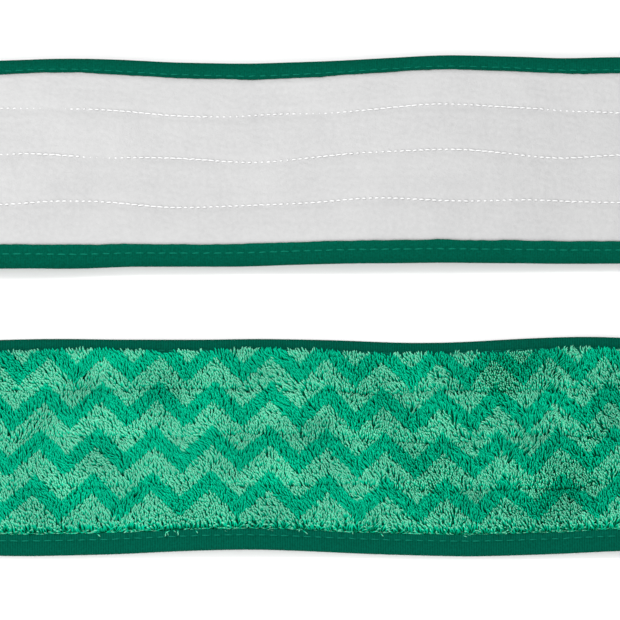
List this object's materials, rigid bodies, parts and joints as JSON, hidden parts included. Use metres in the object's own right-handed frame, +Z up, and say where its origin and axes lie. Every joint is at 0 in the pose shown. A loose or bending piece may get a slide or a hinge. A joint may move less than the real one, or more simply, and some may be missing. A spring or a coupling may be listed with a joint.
{
  "type": "flat mop pad",
  "caption": "Pair of flat mop pads: looped chevron pile on one face, hook-and-loop backing quilted in rows on the other, bound round the edge. One lies face down and one face up.",
  "frame": {"origin": "middle of the pair at the level that they lie on: the bottom centre of the box round both pads", "axes": "+X along the pads' length, +Y from the face-up pad to the face-down pad, +Z up"},
  "size_m": [0.457, 0.306, 0.0118],
  "materials": {
    "loop_cloth": "brushed, matt",
    "felt": "needled felt, matt",
    "ground_cloth": "knitted, matt",
    "light_yarn": "soft twisted microfibre, matt",
    "dark_yarn": "soft twisted microfibre, matt",
    "binding_tape": "fine ribbed woven tape, low sheen",
    "green_thread": "sewing thread, low sheen",
    "white_thread": "sewing thread, low sheen"
  },
  "bodies": {
    "face_down_pad": {"face_down_backing": "loop_cloth", "face_down_core": "felt", "face_down_ground_cloth": "ground_cloth", "face_down_light_pile": "light_yarn", "face_down_dark_pile": "dark_yarn", "face_down_binding_tape": "binding_tape", "face_down_binding_stitches_back": "green_thread", "face_down_binding_stitches_face": "green_thread", "face_down_quilt_row_1_back": "white_thread", "face_down_quilt_row_2_back": "white_thread", "face_down_quilt_row_3_back": "white_thread", "face_down_quilt_row_1_face": "green_thread", "face_down_quilt_row_2_face": "green_thread", "face_down_quilt_row_3_face": "green_thread"},
    "face_up_pad": {"face_up_backing": "loop_cloth", "face_up_core": "felt", "face_up_ground_cloth": "ground_cloth", "face_up_light_pile": "light_yarn", "face_up_dark_pile": "dark_yarn", "face_up_binding_tape": "binding_tape", "face_up_binding_stitches_back": "green_thread", "face_up_binding_stitches_face": "green_thread", "face_up_quilt_row_1_back": "white_thread", "face_up_quilt_row_2_back": "white_thread", "face_up_quilt_row_3_back": "white_thread", "face_up_quilt_row_1_face": "green_thread", "face_up_quilt_row_2_face": "green_thread", "face_up_quilt_row_3_face": "green_thread"}
  },
  "joints": [
    {"name": "face_up_pad_lift", "type": "slide", "parent": "face_down_pad", "child": "face_up_pad", "axis": [0, 0, 1], "range_m": [0, 0.09]}
  ]
}
